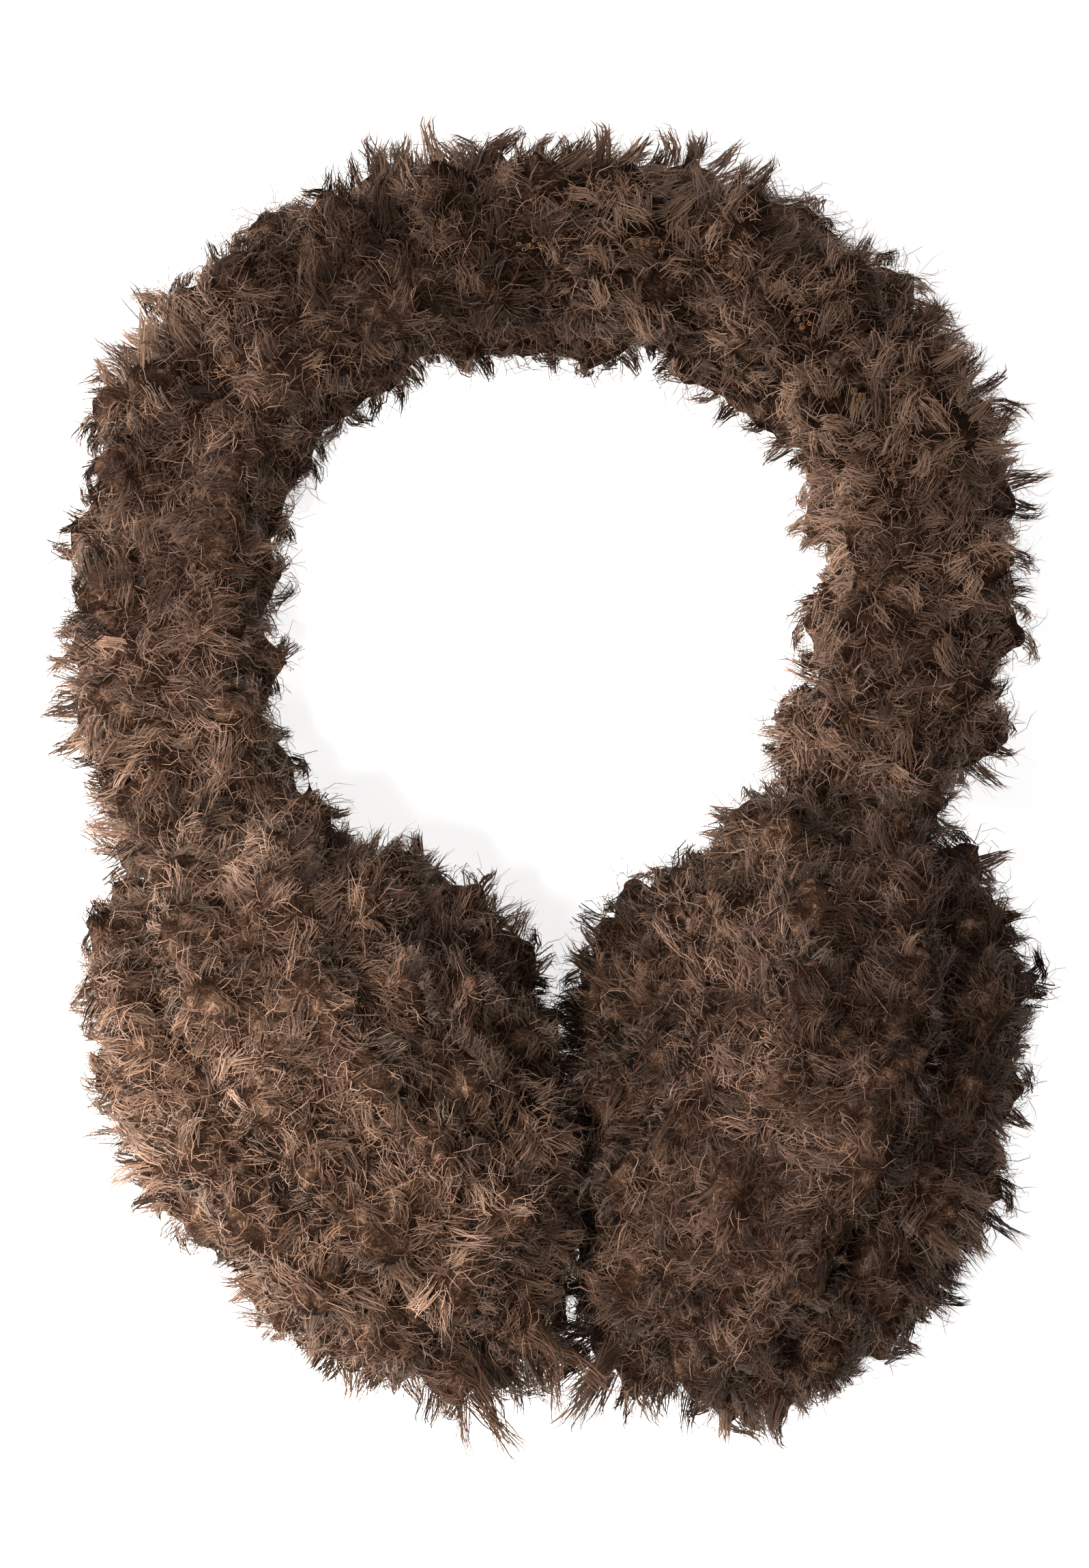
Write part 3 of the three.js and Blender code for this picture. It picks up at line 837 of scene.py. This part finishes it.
def undercoat_colour_group():
    """Colour and height of matted wool: tufts that each lie their own way, streaked with fine hairs, with
    painted shade in the dips between tufts and painted glints where the tone is high.
    """
    colour = (0.5, 0.5, 0.5, 1.0)
    tree, given, made = new_group(
        "undercoat_colour",
        [
            ("Dark", "NodeSocketColor", colour),
            ("Middle", "NodeSocketColor", colour),
            ("Light", "NodeSocketColor", colour),
            ("Tufts per Metre", "NodeSocketFloat", 230.0),
            ("Hairs per Metre", "NodeSocketFloat", 2600.0),
        ],
        [("Colour", "NodeSocketColor"), ("Height", "NodeSocketFloat")],
    )
    place = tree.nodes.new("ShaderNodeTexCoord").outputs["Object"]
    drift = tree.nodes.new("ShaderNodeTexNoise")
    drift.inputs["Scale"].default_value = DRIFT_PER_METRE
    tree.links.new(place, drift.inputs["Vector"])
    shift = vector_node(tree, "SUBTRACT", drift.outputs[1], (0.5, 0.5, 0.5))
    shift = vector_node(tree, "MULTIPLY", shift, (DRIFT_REACH,) * 3)
    place = vector_node(tree, "ADD", place, shift)

    tufts = tree.nodes.new("ShaderNodeTexVoronoi")
    tree.links.new(place, tufts.inputs["Vector"])
    tree.links.new(given["Tufts per Metre"], tufts.inputs["Scale"])
    turned = tree.nodes.new("ShaderNodeVectorRotate")
    turned.rotation_type = "EULER_XYZ"
    tree.links.new(vector_node(tree, "SUBTRACT", place, tufts.outputs["Position"]), turned.inputs["Vector"])
    turn = vector_node(tree, "MULTIPLY", tufts.outputs["Color"], (TUFT_TURN,) * 3)
    tree.links.new(turn, turned.inputs["Rotation"])

    hairs = tree.nodes.new("ShaderNodeTexNoise")
    hairs.inputs["Detail"].default_value = MATTED_DETAIL
    stretched = vector_node(tree, "MULTIPLY", turned.outputs[0], (1.0, 1.0, MATTED_RUN))
    tree.links.new(stretched, hairs.inputs["Vector"])
    tree.links.new(given["Hairs per Metre"], hairs.inputs["Scale"])
    # The dip at each tuft's edge lowers the height, which makes both the bump and a painted shade in the
    # colour
    mound = math_node(tree, "MULTIPLY", tufts.outputs["Distance"], -TUFT_DIP_AND_SHADE)
    height = math_node(tree, "ADD", hairs.outputs[0], mound)
    chance = tree.nodes.new("ShaderNodeSeparateColor")
    tree.links.new(tufts.outputs["Color"], chance.inputs[0])
    tone = math_node(tree, "MULTIPLY_ADD", chance.outputs[0], TUFT_TONE)
    tree.links.new(height, tone.node.inputs[2])
    shade = grey_ramp(tree, tone, MATTED_SHADES)
    painted_glint = grey_ramp(tree, tone, MATTED_PAINTED_GLINTS)
    colour = blend_colours(tree, "MIX", shade, given["Dark"], given["Middle"])
    tree.links.new(blend_colours(tree, "MIX", painted_glint, colour, given["Light"]), made["Colour"])
    tree.links.new(height, made["Height"])
    return tree


def material_with(name, group, values):
    """A new material whose principled shader takes its base colour from a group."""
    material = bpy.data.materials.new(name)
    material.use_nodes = True
    tree = material.node_tree
    shader = tree.nodes["Principled BSDF"]
    node = tree.nodes.new("ShaderNodeGroup")
    node.node_tree = group
    for label, value in values.items():
        node.inputs[label].default_value = value
    tree.links.new(node.outputs["Colour"], shader.inputs["Base Color"])
    return material, tree, shader, node


def hair_material(name, group, tints):
    """Matt wool with a soft sheen, coloured hair by hair."""
    material, tree, shader, node = material_with(name, group, tints)
    tree.links.new(node.outputs["Roughness"], shader.inputs["Roughness"])
    shader.inputs["Specular IOR Level"].default_value = 0.2
    shader.inputs["Sheen Weight"].default_value = 0.1
    shader.inputs["Sheen Roughness"].default_value = 0.4
    shader.inputs["Sheen Tint"].default_value = (0.9, 0.7, 0.56, 1.0)
    return material


def undercoat_material(name, group, tints):
    """Dull matted wool, with its tufts and hairs as bumps."""
    material, tree, shader, node = material_with(name, group, tints)
    bump = tree.nodes.new("ShaderNodeBump")
    bump.inputs["Strength"].default_value = 0.9
    bump.inputs["Distance"].default_value = 1.2 * MM
    tree.links.new(node.outputs["Height"], bump.inputs["Height"])
    tree.links.new(bump.outputs[0], shader.inputs["Normal"])
    shader.inputs["Roughness"].default_value = 0.95
    shader.inputs["Specular IOR Level"].default_value = 0.05
    return material


def knit_material():
    """Orange-brown yarn with uneven dye."""
    material = bpy.data.materials.new("knit_backing")
    material.use_nodes = True
    tree = material.node_tree
    shader = tree.nodes["Principled BSDF"]
    dye = tree.nodes.new("ShaderNodeTexNoise")
    dye.inputs["Scale"].default_value = DYE_PER_METRE
    tree.links.new(tree.nodes.new("ShaderNodeTexCoord").outputs["Object"], dye.inputs["Vector"])
    dark = tuple(DARK_YARN * channel for channel in YARN_TINT[:3]) + (1.0,)
    shade = ramp(tree, dye.outputs[0], [(0.35, dark), (0.6, YARN_TINT)])
    tree.links.new(shade, shader.inputs["Base Color"])
    shader.inputs["Roughness"].default_value = 0.8
    return material


# Colours of the wool: roots in the shade, the body of a hair, sunlit tips, and the warmer hairs
TINTS = {
    "band_pile": {
        "Dark": (0.018, 0.0086, 0.0052, 1.0),
        "Middle": (0.076, 0.0385, 0.0230, 1.0),
        "Light": (0.400, 0.2440, 0.1660, 1.0),
        "Warm": (0.155, 0.0700, 0.0345, 1.0),
    },
    "cup_pile": {
        "Dark": (0.020, 0.0095, 0.0058, 1.0),
        "Middle": (0.078, 0.0400, 0.0240, 1.0),
        "Light": (0.400, 0.2450, 0.1680, 1.0),
        "Warm": (0.155, 0.0720, 0.0360, 1.0),
    },
}


def make_materials():
    """The pile's and the undercoat's material for each finish."""
    hair_group = hair_colour_group()
    undercoat_group = undercoat_colour_group()
    hair = {}
    undercoat = {}
    for slot, tints in TINTS.items():
        hair[slot] = hair_material(slot, hair_group, tints)
        deep = {label: tints[label] for label in ("Dark", "Middle", "Light")}
        undercoat[slot] = undercoat_material(slot + "_undercoat", undercoat_group, deep)
    return hair, undercoat


# Making the pieces

def add_piece(name, mesh, material, node):
    """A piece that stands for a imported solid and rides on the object's one body."""
    mesh.materials.clear()
    mesh.materials.append(material)
    piece = bpy.data.objects.new(name, mesh)
    bpy.context.collection.objects.link(piece)
    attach(piece, "root")
    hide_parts(node)
    return piece


def dress():
    """All the undercoats and piles."""
    hair, undercoat = make_materials()
    meshes = {node: undercoat_mesh(node) for node in NODES}
    skins = {node: Skin(mesh) for node, mesh in meshes.items()}
    locks = [plant(row, skins) for row in PILES]
    for node, mesh in meshes.items():
        mine = [planted for row, planted in zip(PILES, locks) if row["node"] == node]
        roots = np.concatenate([planted["roots"] for planted in mine])
        comb = np.concatenate([planted["comb"] for planted in mine])
        raise_mounds(mesh, skins[node], roots, comb)
        piece = add_piece(node + "_undercoat", mesh, undercoat[SLOTS[node]], node)
    for row, planted in zip(PILES, locks):
        add_piece(row["name"], pile_mesh(row, planted), hair[SLOTS[row["node"]]], row["node"])
    add_piece("headband_seam_knit", knit_mesh(skins["headband"]), knit_material(), "headband")


# Studio

def add_camera():
    """Straight overhead, framed as the photo is."""
    data = bpy.data.cameras.new("overhead")
    data.sensor_width = SENSOR_WIDTH
    data.lens = SENSOR_WIDTH * (CAMERA_HEIGHT - FOCUS_HEIGHT) / (PHOTO_HEIGHT * PHOTO_STEP)
    camera = bpy.data.objects.new("overhead", data)
    camera.location = (*PHOTO_CENTRE, CAMERA_HEIGHT)
    bpy.context.collection.objects.link(camera)
    bpy.context.scene.camera = camera


def add_light(name, place, target, size, power, spread=180):
    """A soft square light that looks at its target, narrowed to its spread in degrees."""
    data = bpy.data.lights.new(name, "AREA")
    data.size = size
    data.energy = power
    data.color = LIGHT_TINT
    data.spread = math.radians(spread)
    light = bpy.data.objects.new(name, data)
    light.location = place
    light.rotation_euler = (Vector(target) - Vector(place)).to_track_quat("-Z", "Y").to_euler()
    bpy.context.collection.objects.link(light)


def add_floor():
    """A plain pale table top."""
    mesh = bpy.data.meshes.new("table_top")
    corners = [(x * FLOOR_HALF, y * FLOOR_HALF, 0) for x, y in ((-1, -1), (1, -1), (1, 1), (-1, 1))]
    mesh.from_pydata(corners, [], [(0, 1, 2, 3)])
    material = bpy.data.materials.new("table_paint")
    material.use_nodes = True
    shader = material.node_tree.nodes["Principled BSDF"]
    shader.inputs["Base Color"].default_value = (0.86, 0.86, 0.86, 1.0)
    shader.inputs["Roughness"].default_value = 0.75
    shader.inputs["Emission Color"].default_value = (1.0, 1.0, 1.0, 1.0)
    shader.inputs["Emission Strength"].default_value = FLOOR_GLOW
    mesh.materials.append(material)
    floor = bpy.data.objects.new("table_top", mesh)
    bpy.context.collection.objects.link(floor)


def add_studio():
    """The table top, the lights and an even white room."""
    add_floor()
    add_light("key", KEY_PLACE, MIDDLE, KEY_SIZE, KEY_POWER)
    add_light("cup_light", CUP_LIGHT_PLACE, LEFT_CUP, CUP_LIGHT_SIZE, CUP_LIGHT_POWER, CUP_LIGHT_SPREAD)
    world = bpy.data.worlds.new("studio")
    world.use_nodes = True
    world.node_tree.nodes["Background"].inputs[0].default_value = (1.0, 1.0, 1.0, 1.0)
    world.node_tree.nodes["Background"].inputs[1].default_value = ROOM_GLOW
    scene = bpy.context.scene
    scene.world = world
    scene.view_settings.view_transform = "Standard"


add_camera()
dress()
add_studio()
